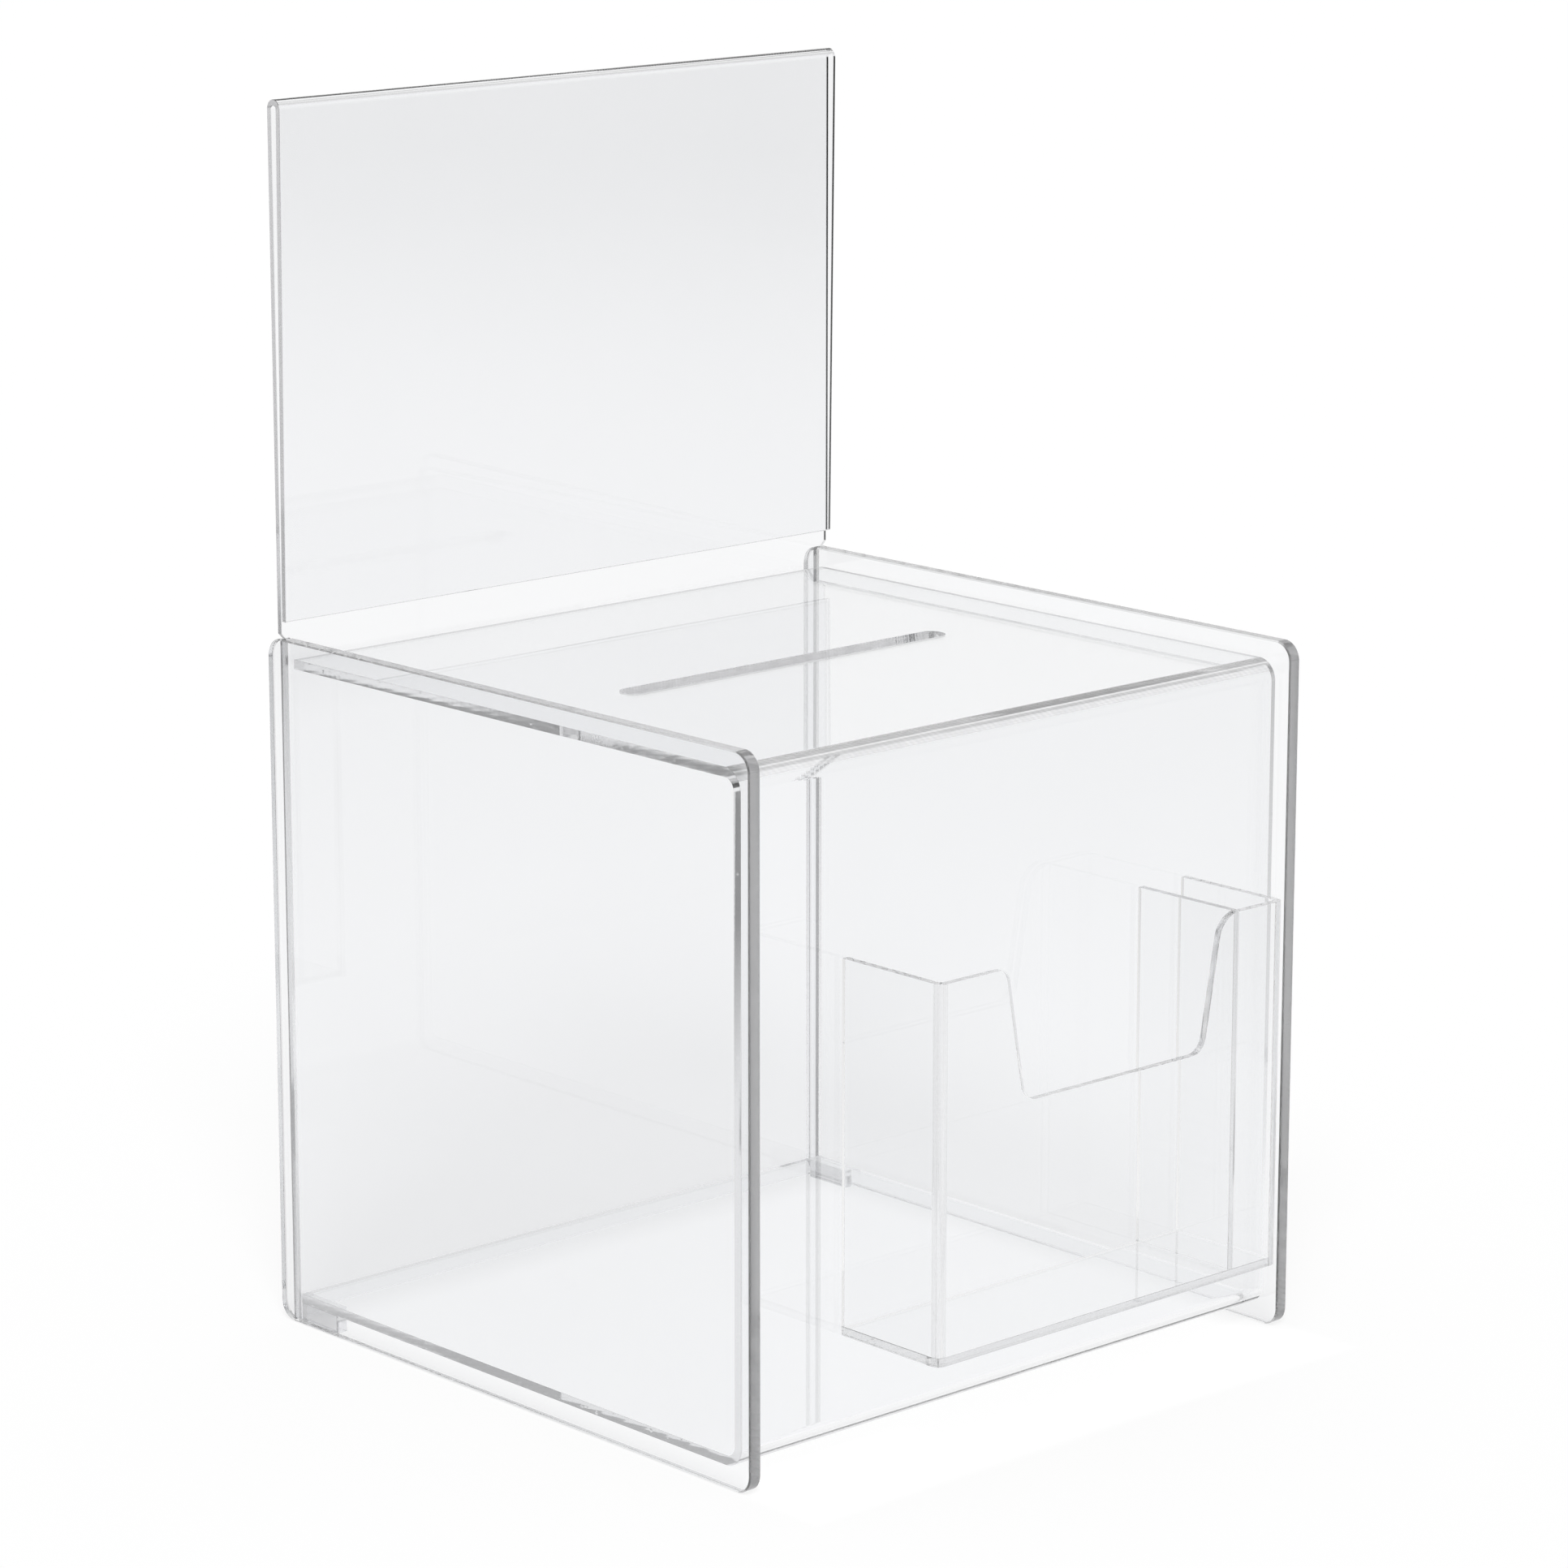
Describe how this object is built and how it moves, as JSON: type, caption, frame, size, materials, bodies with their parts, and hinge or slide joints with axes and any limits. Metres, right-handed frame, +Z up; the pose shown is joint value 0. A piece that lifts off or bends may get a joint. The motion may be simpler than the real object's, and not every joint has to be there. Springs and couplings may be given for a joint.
{
  "type": "ballot box",
  "caption": "Clear acrylic ballot box with a slot in its top, a lift-out back that folds over into a poster pocket, and a dispenser for forms and a pen on its front.",
  "frame": {"origin": "on the table, under the middle of the whole object's footprint", "axes": "+Z up, -Y towards the front with the dispenser, +X to the right of someone facing the front"},
  "size_m": [0.305, 0.3414, 0.5155],
  "materials": {
    "clear_acrylic_6mm": "clear, polished faces, satin edges",
    "clear_acrylic_4mm": "clear, polished faces, sawn edges",
    "clear_acrylic_thin": "clear, polished faces, sawn edges"
  },
  "bodies": {
    "box": {"left_side_panel": "clear_acrylic_6mm", "right_side_panel": "clear_acrylic_6mm", "body_wrap": "clear_acrylic_4mm", "holder_wrap": "clear_acrylic_thin", "holder_floor": "clear_acrylic_thin", "holder_divider": "clear_acrylic_thin", "left_corner_block": "clear_acrylic_6mm", "right_corner_block": "clear_acrylic_6mm"},
    "lift_out_back": {"back_panel": "clear_acrylic_thin"}
  },
  "joints": [
    {"name": "back_slide", "type": "slide", "parent": "box", "child": "lift_out_back", "axis": [0, 0, 1], "range_m": [0, 0.28]}
  ]
}
